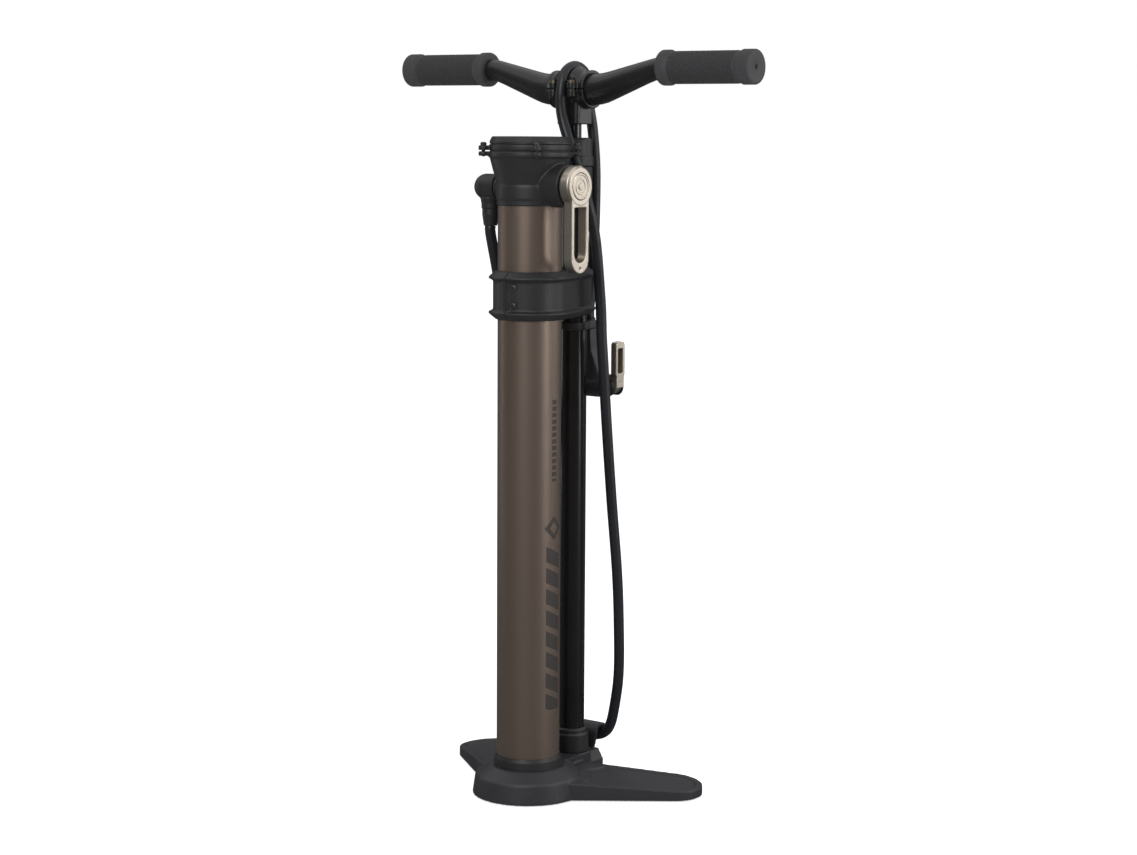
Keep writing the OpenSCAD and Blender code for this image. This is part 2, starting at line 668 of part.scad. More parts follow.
// outline round both tubes: an arc round each, joined by their two common tangents
function wrap(reach, z) = let (lean = asin((chamber_r - barrel_r) / axis_gap)) concat(
    [for (k = [0:wrap_steps]) let (a = 180 - lean + (180 + 2 * lean) * k / wrap_steps)
        [(chamber_r + reach) * cos(a), cy + (chamber_r + reach) * sin(a), z]],
    [for (k = [0:back_steps]) let (a = lean + (180 - 2 * lean) * k / back_steps)
        [(barrel_r + reach) * cos(a), (barrel_r + reach) * sin(a), z]]);
module band_shape() {
    n = wrap_steps + back_steps + 2;
    rows = len(BAND_SECTION);
    verts = [for (p = BAND_SECTION) each wrap(p[0], band_z + p[1])];
    walls = [for (i = [0:rows - 2]) for (k = [0:n - 1])
        let (a = i * n + k, b = i * n + (k + 1) % n) [a, a + n, b + n, b]];
    difference() {
        polyhedron(points = verts, faces = concat([[for (k = [0:n - 1]) k]], walls,
            [[for (k = [n - 1:-1:0]) (rows - 1) * n + k]]), convexity = 6);
        // pockets between the tubes, above and below a web
        for (z = [band_z - band_h, band_z + web_t / 2])
            translate([-14, cy + chamber_r + 3, z])
                cube([28, axis_gap - chamber_r - barrel_r - 6, band_h - web_t / 2]);
    }
}
module band_bores(room) {
    at_chamber() cylinder(r = chamber_r + room, h = 900);
    cylinder(r = barrel_r + room, h = 900);
}
// strip of the left half that passes under the right half, front and back
module lap(start, room, height) {
    translate([0, 0, band_z - height / 2]) {
        at_chamber() rotate([0, 0, -93]) lap_ring(chamber_r, lap_deg + 3, start, room, height);
        rotate([0, 0, 90 - lap_deg * 2]) lap_ring(barrel_r, lap_deg * 2 + 3, start, room, height);
    }
}
module lap_ring(r, degrees, start, room, height) {
    rotate([0, 0, -room * 2]) rotate_extrude(angle = degrees + room * 4)
        translate([r + start, 0]) square([lap_out + room - start, height]);
}
// raised rib beside the seam on the front, from x0 to x1
module seam_rib(x0, x1) {
    half = 15.2;
    at_chamber() intersection() {
        translate([0, 0, band_z - half]) cylinder(r = chamber_r + panel_out + rib_out, h = half * 2);
        translate([x0, -chamber_r - 20, 0]) cube([x1 - x0, 20, 900]);
    }
}
module clamp_left() {
    color("black") {
        difference() {
            union() {
                intersection() {
                    band_shape();
                    translate([-200, -200, 0]) cube([200, 400, 900]);
                }
                seam_rib(-5, -0.05);
            }
            band_bores(slip);
        }
        difference() {
            lap(0.3, 0, lap_h);
            clamp_screw_places() cylinder(r = 1.3, h = 20, center = true);
        }
    }
}
module clamp_right() {
    color("black") difference() {
        union() {
            intersection() {
                band_shape();
                translate([0.2, -200, 0]) cube([200, 400, 900]);
            }
            seam_rib(0.25, 2.8);
        }
        band_bores(slip);
        lap(-1, 0.2, lap_h + 0.8);
        clamp_screw_places() cylinder(r = 1.5, h = 20, center = true);
        clamp_screw_places() cylinder(r = 3.7, h = 6);
    }
}
module clamp_screw_places() {
    for (z = [-9, 9]) {
        at_chamber() rotate([0, 0, -78]) translate([chamber_r + screw_seat, 0, band_z + z])
            rotate([0, 90, 0]) children();
        rotate([0, 0, 70]) translate([barrel_r + screw_seat, 0, band_z + z])
            rotate([0, 90, 0]) children();
    }
}
module clamp_screws() {
    color("dimgray") clamp_screw_places() button_screw(1.3, 3.4, 2.4, screw_seat - 0.3);
}

// clip that stores the pump head behind the barrel: a ring with a fork round the neck
module head_dock() {
    dock_h = 8;
    fork = 7.7;
    color("black") difference() {
        union() {
            translate([0, 0, dock_z]) cylinder(r = barrel_r + 3, h = dock_h);
            translate([neck_x - fork - 3, 8, dock_z]) cube([2 * fork + 6, neck_y - 6, dock_h]);
        }
        translate([0, 0, dock_z - 1]) cylinder(r = barrel_r + 0.02, h = 20);
        translate([neck_x, neck_y, dock_z - 1]) cylinder(r = fork, h = 20);
        translate([neck_x - fork + 1, neck_y, dock_z - 1]) cube([2 * fork - 2, 30, 20]);
    }
}

// ---------------------------------------------------------------- hose
module hose_lower() {
    color("black") sweep(smooth_route(lifted(LOWER_ROUTE), 2), hose_od / 2, 10,
        [0, 0, -1], [0, 0, 1]);
}
module hose_upper() {
    color("black") sweep(smooth_route(lifted(UPPER_ROUTE), 2), hose_od / 2, 10,
        [0, 0, 1], [0, 0, -1]);
}

// ---------------------------------------------------------------- pump head
module head_neck() {
    color("silver") translate([neck_x, neck_y, 0]) difference() {
        turned([[0, neck_z - 11], [7.4, neck_z - 11], [7.4, neck_z - 3], [6.6, neck_z - 2],
            [6.6, neck_z], [0, neck_z]]);
        cylinder(r = 2, h = 900);
    }
}
module head_shell() {
    // flat-sided blade between the neck and the chuck, rounded by a lens section
    intersection() {
        translate([0, neck_y + 9, 0]) rotate([90, 0, 0]) linear_extrude(18)
            polygon([[neck_x - 7.6, neck_z - 11], [neck_x + 7.6, neck_z - 11], [neck_x + 9, chuck_z + 39],
                [19, chuck_z + 9], [25, chuck_z], [mouth_x + 6, chuck_z], [neck_x - 9, chuck_z + 24]]);
        translate([neck_x + 8, neck_y, chuck_z - 16]) linear_extrude(90) intersection() {
            translate([0, -27]) circle(r = 36);
            translate([0, 27]) circle(r = 36);
        }
    }
    translate([0, neck_y, chuck_z]) {
        bar_x(chuck_r, mouth_x + 6, pin_x);
        translate([pin_x, 0, 0]) sphere(r = chuck_r);
    }
}
module head_body() {
    color("black") difference() {
        head_shell();
        translate([neck_x, neck_y, chuck_z]) cylinder(r = 2, h = 80);
        translate([0, neck_y, chuck_z]) {
            bar_x(6.8, mouth_x + 5, 0.5);
            bar_x(3 + fit_play, -1, 25);
            translate([19.5, -tongue_w / 2 - 0.2, -20]) cube([40, tongue_w + 0.4, 60]);
            translate([pin_x, 0, 0]) bar_y(1.5, -20, 20);
        }
    }
}
module head_gasket() {
    color("darkslategray") translate([0, neck_y, chuck_z]) difference() {
        bar_x(6.7, mouth_x + 3, mouth_x + 13);
        bar_x(valve_r, mouth_x, mouth_x + 20);
    }
}
module head_nut() {
    color("silver") translate([0, neck_y, chuck_z]) difference() {
        translate([mouth_x, 0, 0]) rotate([0, 90, 0]) turned([[0, 0], [9.6, 0], [10.6, 1],
            [10.6, 5.4], [10, 6], [0, 6]]);
        bar_x(valve_r, mouth_x - 1, mouth_x + 4);
        bar_x(6.7, mouth_x + 3, mouth_x + 20);
    }
}
plunger_gap = 3.4;
module head_plunger() {
    color("silver") translate([0, neck_y, chuck_z]) difference() {
        union() {
            bar_x(6.2, mouth_x + 13 + plunger_gap, mouth_x + 16 + plunger_gap);
            bar_x(3, mouth_x + 13 + plunger_gap, 22.5);
        }
        bar_x(1, mouth_x, 15);
        translate([neck_x + 2, 0, 0]) cylinder(r = 1, h = 20);
    }
}
module head_pin() {
    color("silver") translate([pin_x, neck_y, chuck_z]) bar_y(1.5, 0.5 - chuck_r, chuck_r - 0.5);
}
module head_lever() {
    corner = 4;
    slot_low = 15;
    slot_high = thumb_len - 7;
    slot_half = thumb_w / 2 - 3.2;
    color("wheat") translate([pin_x, neck_y, chuck_z]) difference() {
        union() {
            bar_y(6.6, -tongue_w / 2, tongue_w / 2);
            translate([0, -tongue_w / 2, 0]) cube([3 + thumb_t, tongue_w, 14]);
            translate([3, -thumb_w / 2, 13]) cube([thumb_t, thumb_w, thumb_len - corner - 13]);
            translate([3, corner - thumb_w / 2, 13]) cube([thumb_t, thumb_w - 2 * corner, thumb_len - 13]);
            for (s = [-1, 1]) translate([0, s * (thumb_w / 2 - corner), thumb_len - corner])
                bar_x(corner, 3, 3 + thumb_t);
        }
        translate([0, -slot_half, slot_low]) cube([20, slot_half * 2, slot_high - slot_low - 2]);
        translate([0, 2 - slot_half, slot_low]) cube([20, slot_half * 2 - 4, slot_high - slot_low]);
        for (s = [-1, 1]) translate([0, s * (slot_half - 2), slot_high - 2]) bar_x(2, 0, 20);
        bar_y(1.5 + fit_play, -20, 20);
        for (y = [-2, 2]) translate([0, y, 6]) bar_x(0.7, 8, 20);
    }
}

// ---------------------------------------------------------------- piston and handle
module piston() {
    color("white") difference() {
        turned([[0, piston_z], [barrel_in - 1, piston_z], [barrel_in - fit_play, piston_z + 1],
            [barrel_in - fit_play, piston_z + 5], [barrel_in - 2.2, piston_z + 5],
            [barrel_in - 2.2, piston_z + 8], [barrel_in - fit_play, piston_z + 8],
            [barrel_in - fit_play, piston_z + piston_h], [0, piston_z + piston_h]]);
        translate([0, 0, piston_z - 1]) cylinder(r = 3, h = 40);
    }
}
module piston_seal() {
    color("black") tube(barrel_in - 0.02, barrel_in - 2.15, piston_z + 5.05, piston_z + 7.95);
}
module piston_nut() {
    color("silver") translate([0, 0, piston_z - 4]) difference() {
        cylinder(r = 6, h = 4, $fn = 6);
        translate([0, 0, -1]) cylinder(r = 3, h = 9);
    }
}
module piston_rod() {
    color("silver") {
        translate([0, 0, piston_z - 5]) cylinder(r = 3, h = piston_h + 8);
        tube(rod_r, rod_r - 2, piston_z + piston_h, stem_z + 14);
        translate([0, 0, piston_z + piston_h]) cylinder(r = rod_r - 1, h = 12);
    }
}
module rounded_square(w, r) {
    square([w - 2 * r, w], center = true);
    square([w, w - 2 * r], center = true);
    for (x = [-1, 1]) for (y = [-1, 1]) translate([x * (w / 2 - r), y * (w / 2 - r)]) circle(r = r);
}
module bolt_places() {
    for (x = [-1, 1]) for (y = [-1, 1]) translate([x * bolt_x, y * bolt_y, bar_z]) children();
}
// rings round the bar beside the hose channel; the top ones rise toward the channel
module clamp_rings(hump) {
    translate([0, 0, bar_z]) {
        bar_x(channel_r, -clamp_half, clamp_half);
        for (s = [0, 1]) mirror([s, 0, 0]) {
            bar_x(ring_r - 0.8, channel, clamp_half);
            bar_x(ring_r, clamp_half - 3, clamp_half);
            translate([channel, 0, 0]) rotate([0, 90, 0])
                cylinder(r1 = hump, r2 = ring_r - 0.8, h = 9);
        }
    }
    for (x = [-1, 1]) for (y = [-1, 1]) translate([x * bolt_x, y * bolt_y, bar_z - 8]) {
        cylinder(r = 5, h = 15);
        translate([-4, min(0, -y * 9), 0]) cube([8, 9, 15]);
    }
}
module clamp_cut() {
    translate([0, 0, bar_z]) bar_x(bar_r + 0.02, -60, 60);
    for (s = [-1, 1]) translate([-channel, s * (bar_r + 12) - 10, bar_z - 20])
        intersection() {
            cube([channel * 2, 20, 40]);
            translate([0, 10 - s * (bar_r + 12), 20]) difference() {
                translate([-1, -60, -60]) cube([60, 120, 120]);
                bar_x(channel_r, -2, 60);
            }
        }
}
module handle_stem() {
    color("black") difference() {
        union() {
            intersection() {
                clamp_rings(ring_r);
                translate([-100, -100, bar_z - 100]) cube([200, 200, 99.8]);
            }
            translate([0, 0, stem_z]) linear_extrude(bar_z - stem_z - 8)
                rounded_square(stem_w, 4.7);
        }
        clamp_cut();
        translate([0, 0, stem_z - 1]) cylinder(r = rod_r + 0.02, h = 15);
        bolt_places() translate([0, 0, -12]) cylinder(r = 2.5, h = 20);
    }
}
module clamp_cap() {
    color("black") difference() {
        intersection() {
            clamp_rings(hump_r);
            translate([-100, -100, bar_z + 0.2]) cube([200, 200, 100]);
        }
        clamp_cut();
        bolt_places() cylinder(r = 2.7, h = 20);
        bolt_places() translate([0, 0, 5]) cylinder(r = 4.3, h = 30);
    }
}
module clamp_bolts() {
    color("tan") bolt_places() translate([0, 0, 5]) difference() {
        union() {
            translate([0, 0, -12.5]) cylinder(r = 2.5, h = 12.5 + eps);
            cylinder(r = 4.1, h = 4);
        }
        translate([0, 0, 1.8]) cylinder(r = 2, h = 3, $fn = 6);
    }
}
// the bar is one bent and tapered tube: straight in the clamp, rising to straight ends
// 0 at a, 1 at b, straight between but for a soft start and end
function ramp(a, b, x) = let (u = max(0, min(1, (x - a) / (b - a))), s = 0.22)
    u < s ? u * u / (2 * s * (1 - s)) : u > 1 - s ? 1 - (1 - u) * (1 - u) / (2 * s * (1 - s))
        : (u - s / 2) / (1 - s);
function bar_height(x) = bar_rise * ramp(bend_x, grip_in + 4, x);
function bar_radius(x) = bar_r - (bar_r - bar_end_r) * ramp(bend_x, grip_in - 2, x);
function bar_ring(x, z, r) = [for (k = [0:bar_sides - 1])
    [x, r * sin(360 * k / bar_sides), z + r * cos(360 * k / bar_sides)]];
module handlebar() {
    end = handle_half - 3.2;
    half = concat([for (k = [0:bend_steps]) bend_x + (grip_in + 4 - bend_x) * k / bend_steps], [end]);
    stations = concat([for (k = [len(half) - 1:-1:0]) -half[k]], half);
    n = len(stations);
    outer = [for (x = stations) each bar_ring(x, bar_height(abs(x)), bar_radius(abs(x)))];
    inner = [for (x = stations) each bar_ring(x, bar_height(abs(x)), bar_radius(abs(x)) - bar_wall)];
    m = n * bar_sides;
    walls = [for (i = [0:n - 2]) for (k = [0:bar_sides - 1])
        let (a = i * bar_sides + k, b = i * bar_sides + (k + 1) % bar_sides, c = bar_sides)
        each [[a, b, b + c], [a, b + c, a + c], [m + a, m + b + c, m + b], [m + a, m + a + c, m + b + c]]];
    caps = [for (k = [0:bar_sides - 1])
        let (b = (k + 1) % bar_sides, e = (n - 1) * bar_sides)
        each [[k, m + b, b], [k, m + k, m + b], [e + k, e + b, m + e + b], [e + k, m + e + b, m + e + k]]];
    color("black") translate([0, 0, bar_z])
        polyhedron(points = concat(outer, inner), faces = concat(walls, caps), convexity = 8);
}
module grip() {
    flange = grip_flange_od / 2;
    body = grip_od / 2;
    translate([0, 0, grip_z]) rotate([0, 90, 0]) difference() {
        turned([[0, grip_in], [flange - 1.4, grip_in], [flange, grip_in + 1.4], [flange, grip_in + 9],
            [body, grip_in + 13], [body - 0.6, handle_half - 18], [flange, handle_half - 14],
            [flange, handle_half - 2], [flange - 2, handle_half], [0, handle_half]]);
        translate([0, 0, grip_in + 4]) cylinder(r = bar_end_r, h = grip_len - 7);
        translate([0, 0, grip_in - 1]) cylinder(r1 = bar_end_r + 1.2, r2 = bar_end_r + 0.5, h = 6);
        cylinder(r = 1.5, h = handle_half + 5);
    }
}
module grip_right() { color("dimgray") grip(); }
module grip_left() { color("dimgray") mirror([1, 0, 0]) grip(); }

base_body();
rubber_feet();
passage_plug();
check_seat();
check_ball();
check_spring();
check_cage();
chamber_foot_seal();
chamber_foot_ring();
chamber_tube();
chamber_head_seal();
head_casting();
gauge_gasket();
gauge_case();
gauge_socket();
bourdon_tube();
gauge_spindle();
gauge_dial();
gauge_needle();
gauge_lens();
gauge_bezel();
flange_screws();
valve_spool();
valve_seals();
release_lever();
lever_screw();
lever_cap();
elbow_seal();
outlet_elbow();
outlet_ferrule();
barrel_foot_seal();
barrel_foot_nut();
barrel_tube();
rod_bush();
rod_wiper();
barrel_cap();
clamp_left();
clamp_right();
clamp_screws();
head_dock();
hose_lower();
hose_upper();
head_neck();
head_body();
head_gasket();
head_nut();
head_plunger();
head_pin();
head_lever();
piston();
piston_seal();
piston_nut();
piston_rod();
handle_stem();
clamp_cap();
clamp_bolts();
handlebar();
grip_left();
grip_right();
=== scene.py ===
# %% [markdown]
# # A track floor pump, finished around its CAD frame
# A floor pump has a slim barrel that is pumped and, on this one, a wide air chamber beside it.
# The CAD frame fixes every size and place. Here the camera, the hose, the surfaces and the small
# details are added. Lengths are in metres, +Z is up, and the barrel stands on the Z axis.

# %% Load the frame
import json
import math

import bmesh
import bpy
from mathutils import Matrix, Vector


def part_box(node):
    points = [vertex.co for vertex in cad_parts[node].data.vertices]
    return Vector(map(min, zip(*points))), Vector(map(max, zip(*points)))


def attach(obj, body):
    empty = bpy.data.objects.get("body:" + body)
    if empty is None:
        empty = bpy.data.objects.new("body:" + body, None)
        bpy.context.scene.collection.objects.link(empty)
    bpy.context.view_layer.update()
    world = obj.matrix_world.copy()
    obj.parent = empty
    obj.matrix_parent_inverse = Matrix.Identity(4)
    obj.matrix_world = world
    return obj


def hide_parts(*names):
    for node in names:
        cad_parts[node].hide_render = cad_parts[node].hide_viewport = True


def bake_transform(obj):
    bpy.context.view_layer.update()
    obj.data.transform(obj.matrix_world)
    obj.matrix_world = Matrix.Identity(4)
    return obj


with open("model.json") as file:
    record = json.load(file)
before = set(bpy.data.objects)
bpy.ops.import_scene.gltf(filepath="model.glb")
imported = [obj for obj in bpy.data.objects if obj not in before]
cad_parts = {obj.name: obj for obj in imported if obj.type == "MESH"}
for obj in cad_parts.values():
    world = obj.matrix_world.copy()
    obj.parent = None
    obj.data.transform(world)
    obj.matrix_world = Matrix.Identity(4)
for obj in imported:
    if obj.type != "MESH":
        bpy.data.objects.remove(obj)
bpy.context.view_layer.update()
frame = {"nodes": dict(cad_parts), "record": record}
scene = bpy.context.scene

# %% [markdown]
# ## Camera
# A product shot of a tall thin thing is taken from far off with a long lens, so that upright
# lines stay upright. The camera turns 37 degrees round the pump, tips down a little over 7
# degrees and rolls by a third of a degree, like a tripod head that isn't quite level.

# %% Camera
LENS_MM, CLIP_END = 75.37, 30
CAMERA_AT = (1.4784, -1.9694, 0.6873)
TURN_DEG, TIP_DEG, ROLL_DEG = 37, 7.253, 0.352
camera_data = bpy.data.cameras.new("camera")
camera_data.lens = LENS_MM
camera_data.clip_end = CLIP_END
camera = bpy.data.objects.new("camera", camera_data)
scene.collection.objects.link(camera)
turn = Matrix.Rotation(math.radians(TURN_DEG), 4, "Z")
tip = Matrix.Rotation(math.radians(90 - TIP_DEG), 4, "X")
roll = Matrix.Rotation(math.radians(ROLL_DEG), 4, "Z")
camera.matrix_world = Matrix.Translation(CAMERA_AT) @ turn @ tip @ roll
scene.camera = camera
print("camera at", [round(v, 3) for v in camera.location])

# %% [markdown]
# ## Arithmetic on sockets
# A shader is a graph of nodes, and a mask such as "where the height is between two values" takes
# several Math nodes. Wrapping a socket in a small class lets Python's own + - * build them, so the
# formula stays readable. Every other kind of node comes from one method.

# %% A socket that can be added and multiplied
class Value:
    def __init__(self, finish, socket):
        self.finish, self.socket = finish, socket

    def math(self, operation, *others):
        ordered = dict(enumerate((self,) + others))
        return self.finish.node("Math", {"operation": operation}, ordered)

    def flipped(self, operation, other):
        return self.finish.node("Math", {"operation": operation}, {0: other, 1: self})

    def __add__(self, other):
        return self.math("ADD", other)

    def __radd__(self, other):
        return self.math("ADD", other)

    def __sub__(self, other):
        return self.math("SUBTRACT", other)

    def __rsub__(self, other):
        return self.flipped("SUBTRACT", other)

    def __mul__(self, other):
        return self.math("MULTIPLY", other)

    def __rmul__(self, other):
        return self.math("MULTIPLY", other)

    def above(self, level, soft):
        """1 from level up, rising from 0 over the width soft before it."""
        return self.finish.node("MapRange", {"interpolation_type": "SMOOTHSTEP"},
                                {0: self, 1: level - soft, 2: level})

    def between(self, low, high, soft):
        """1 inside low to high, falling to 0 over the width soft on both sides."""
        return self.above(low, soft) * (1 - self.above(high + soft, soft))


print("a socket now takes + - * and makes masks by height or angle")

# %% [markdown]
# A finish is one material. The values that are the same all over sit on the shader's own
# sockets, and only what really varies over the surface is linked to it.

# %% A material and its nodes
class Finish:
    def __init__(self, name, colour, **fixed):
        self.material = bpy.data.materials.new(name)
        self.material.use_nodes = True
        self.tree = self.material.node_tree
        self.shader = self.tree.nodes["Principled BSDF"]
        self.shader.inputs["Base Color"].default_value = (*colour, 1)
        self.colour = (*colour, 1)
        for socket, value in fixed.items():
            self.shader.inputs[socket.replace("_", " ")].default_value = value
        self.place = self.node("TexCoord", out="Object")

    def node(self, kind, settings=None, sockets=None, out=0):
        made = self.tree.nodes.new("ShaderNode" + kind)
        for key, value in (settings or {}).items():
            setattr(made, key, value)
        for key, value in (sockets or {}).items():
            if isinstance(value, Value):
                self.tree.links.new(value.socket, made.inputs[key])
            else:
                made.inputs[key].default_value = value
        return Value(self, made.outputs[out])

    def noise(self, scale, detail=2.0, stretch=(1, 1, 1)):
        """Noise of that many spots a metre, 0 to 1. stretch squeezes it along an axis."""
        where = self.node("VectorMath", {"operation": "MULTIPLY"}, {0: self.place, 1: stretch})
        return self.node("TexNoise", {}, {"Vector": where, "Scale": scale, "Detail": detail})

    def axis(self, name):
        return self.node("SeparateXYZ", {}, {0: self.place}, out=name)

    def paint(self, mask, over, under=None):
        """Mixes a colour over the one that was there, and links it as the base colour."""
        mixed = self.node("Mix", {"data_type": "RGBA"}, {
            0: mask, 6: self.colour if under is None else under, 7: (*over, 1)}, out=2)
        self.link(mixed, "Base Color")
        return mixed

    def bump(self, height, distance):
        """Raises the surface by up to that distance in metres, in its shading only."""
        self.link(self.node("Bump", {}, {"Height": height, "Distance": distance}), "Normal")

    def link(self, value, socket):
        self.tree.links.new(value.socket, self.shader.inputs[socket])


print("a finish is a material that can be painted, bumped and linked")

# %% [markdown]
# ## The hose
# The hose is 11 mm rubber, about 1.6 m long. It leaves the elbow on the left, hangs down, passes
# under the hook on the base, climbs the right side, goes over the handle and down behind the
# barrel into the pump head. The CAD holds it as two solids with few sides, so here one smooth tube
# stands for both. The points are the CAD's own route, joined by the same Catmull-Rom curve.

# %% The route and the tube
HOSE_OD, HOSE_SIDES, ROUTE_STEPS = 0.011, 28, 7
ROUTE_MM = [
    (-51, -74, 584.6), (-51, -74, 576.6), (-49, -66, 540), (-48.5, -52, 485), (-49, -34, 420),
    (-46.5, -18, 340), (-45, -4, 250), (-43, 12, 160), (-38, 26, 100), (-28, 34, 64), (-14, 38, 44),
    (0, 38.5, 39), (14, 38, 42), (25, 36, 53), (33, 33, 76), (40, 30, 112), (42, 27, 160),
    (42, 23, 220), (39, 16, 300), (37, 9, 380), (36, 4, 440), (35, 2, 470), (35, 1, 487),
    (35, -1, 510), (35, -10, 570), (31, -19, 610), (21, -22, 642), (11, -23, 668), (3, -23, 689),
    (0, -23.4, 704), (0, -23.4, 722), (0, -16.7, 739.7), (0, 0, 746.5), (0, 16.7, 739.7),
    (0, 23.4, 722), (1, 24, 704), (4, 26, 680), (6, 28, 640), (5, 29, 590), (2, 30, 545),
    (0, 30, 515), (-1, 28.5, 497), (-1, 28.5, 487)]


def smooth_route(points, steps):
    """Catmull-Rom through the points, with that many steps from one to the next."""
    found = []
    for i in range(len(points) - 1):
        a, b, c, d = (points[max(0, min(len(points) - 1, i + k))] for k in (-1, 0, 1, 2))
        for k in range(steps):
            t = k / steps
            found.append(0.5 * (2 * b + (c - a) * t + (2 * a - 5 * b + 4 * c - d) * t ** 2
                                + (3 * b - a - 3 * c + d) * t ** 3))
    return found + [points[-1]]


def mesh_object(name, verts, faces, body=None):
    mesh = bpy.data.meshes.new(name)
    mesh.from_pydata(verts, [], faces)
    mesh.validate()
    mesh.shade_smooth()
    made = bpy.data.objects.new(name, mesh)
    scene.collection.objects.link(made)
    if body:
        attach(made, body)
    return made


def tube(name, path, radius, sides):
    """A closed round tube whose rings turn with the path and never twist."""
    side = Vector((1, 0, 0))
    verts, faces = [], []
    for i, point in enumerate(path):
        along = (path[min(i + 1, len(path) - 1)] - path[max(i - 1, 0)]).normalized()
        side = (side - along * side.dot(along)).normalized()
        up = along.cross(side)
        for k in range(sides):
            angle = math.tau * k / sides
            verts.append(point + radius * (math.cos(angle) * side + math.sin(angle) * up))
    for i in range(len(path) - 1):
        for k in range(sides):
            a, b = i * sides + k, i * sides + (k + 1) % sides
            faces.append((a, b, b + sides, a + sides))
    faces.append(tuple(range(sides - 1, -1, -1)))
    faces.append(tuple(range(len(verts) - sides, len(verts))))
    return mesh_object(name, verts, faces)


route = smooth_route([Vector(p) / 1000 for p in ROUTE_MM], ROUTE_STEPS)
hose_length = sum((b - a).length for a, b in zip(route, route[1:]))
hose = tube("hose", route, HOSE_OD / 2, HOSE_SIDES)
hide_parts("hose_lower", "hose_upper")
print("hose length", round(hose_length, 3), "m")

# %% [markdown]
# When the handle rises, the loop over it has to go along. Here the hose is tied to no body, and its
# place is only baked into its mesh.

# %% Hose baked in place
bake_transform(hose)

# %% [markdown]
# ## Finishes
# Black plastic, rubber and paint all look black, and the eye tells them apart by their gloss and
# grain. Moulded nylon has a spark-eroded grain from its steel mould, and its gloss drifts a
# little over a large wall. Two noises do it: a fine one in the bump, a broad one in roughness.

# %% Moulded plastic and rubber
PATCHES = 14  # cloudy patches a metre
GLOSS_DRIFT, GRAIN_DULLS = 0.08, 0.06


def moulded(name, colour, rough, grain=1500, depth=0.00006):
    """Grain is in spots a metre and its depth in metres."""
    finish = Finish(name, colour, Roughness=rough, IOR=1.5)
    fine, broad = finish.noise(grain, 3), finish.noise(PATCHES, 2)
    gloss = rough - GLOSS_DRIFT / 2 + broad * GLOSS_DRIFT
    finish.link(gloss + fine * GRAIN_DULLS, "Roughness")
    lighter = tuple(min(1, c * 1.35 + 0.004) for c in colour)
    finish.paint(broad.above(0.5, 0.25) * 0.6 + fine * 0.25, lighter)
    finish.bump(fine, depth)
    return finish


base_nylon = moulded("base_nylon", (0.014, 0.014, 0.0165), 0.46, grain=1100, depth=0.00012)
black_nylon = moulded("black_nylon", (0.0095, 0.0095, 0.0105), 0.42)
black_rubber = moulded("black_rubber", (0.012, 0.012, 0.012), 0.75, grain=900, depth=0.0001)
grip_rubber = moulded("grip_rubber", (0.03, 0.03, 0.032), 0.6, grain=2200)

hose_rubber = moulded("hose_rubber", (0.006, 0.0068, 0.0092), 0.36, grain=700, depth=0.00002)
print("plastic and rubber finishes:", len(bpy.data.materials))

# %% [markdown]
# The grips are rubber sleeves with a diamond knurl between two smooth flanges. Dust greys the
# rubber in random patches, and the valleys between the diamonds are painted near black: painted
# shade in the recesses. A picture wrapped round the grip would do, but the same two sines that
# shape the diamonds later can also mix the two colours, so the pattern and the shape always agree.

# %% Dust and painted shade on the grips' diamonds
KNURL_TURNS, KNURL_PITCH = 42, 0.00475
KNURL_FROM_INNER, KNURL_FROM_OUTER, VALLEY_SHADE_EDGE = 0.0135, 0.0185, 0.001
grip_low, grip_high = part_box("grip_right")
grip_z = (grip_low.z + grip_high.z) / 2
grip_length = grip_high.x - grip_low.x
around = (grip_rubber.axis("Z") - grip_z).math("ARCTAN2", grip_rubber.axis("Y"))
around = around * (KNURL_TURNS / 2)
from_inner = grip_rubber.axis("X").math("ABSOLUTE") - grip_low.x
along = from_inner * (math.pi / KNURL_PITCH)
diamonds = ((around + along).math("SINE") * (around - along).math("SINE")).math("ABSOLUTE")
knurled = from_inner.between(KNURL_FROM_INNER + VALLEY_SHADE_EDGE,
                             grip_length - KNURL_FROM_OUTER - VALLEY_SHADE_EDGE, VALLEY_SHADE_EDGE)
# Painted shade: this mask darkens the valleys between the diamonds, as if they lay in shadow.
painted_valley_shade = (1 - diamonds.above(0.45, 0.4)) * knurled
dust = grip_rubber.noise(40, 3).above(0.5, 0.3) * 0.6
dusty = grip_rubber.paint(dust, (0.04, 0.04, 0.043))
# The valleys get a near black colour, a painted shade in the knurl's recesses.
grip_rubber.paint(painted_valley_shade * 0.85, (0.006, 0.006, 0.0065), under=dusty)
knurl_length = grip_length - KNURL_FROM_INNER - KNURL_FROM_OUTER
print("diamonds round a grip:", KNURL_TURNS, "along it:", round(knurl_length / KNURL_PITCH))

# %% [markdown]
# ## The bronze chamber
# The air chamber is a drawn aluminium tube, bead blasted and anodised a warm bronze. That is a
# metal, so its colour goes into the reflection. A decal of slanted bars, like a worn scale, runs
# up its right side: a plain pattern in place of any lettering. Its place is worked out from the
# angle round the tube and the height. BAR_GAPS and DASH_GAPS are how many fit in a metre, and
# BAR_PART and DASH_PART say from where to where each of those lengths is inked.

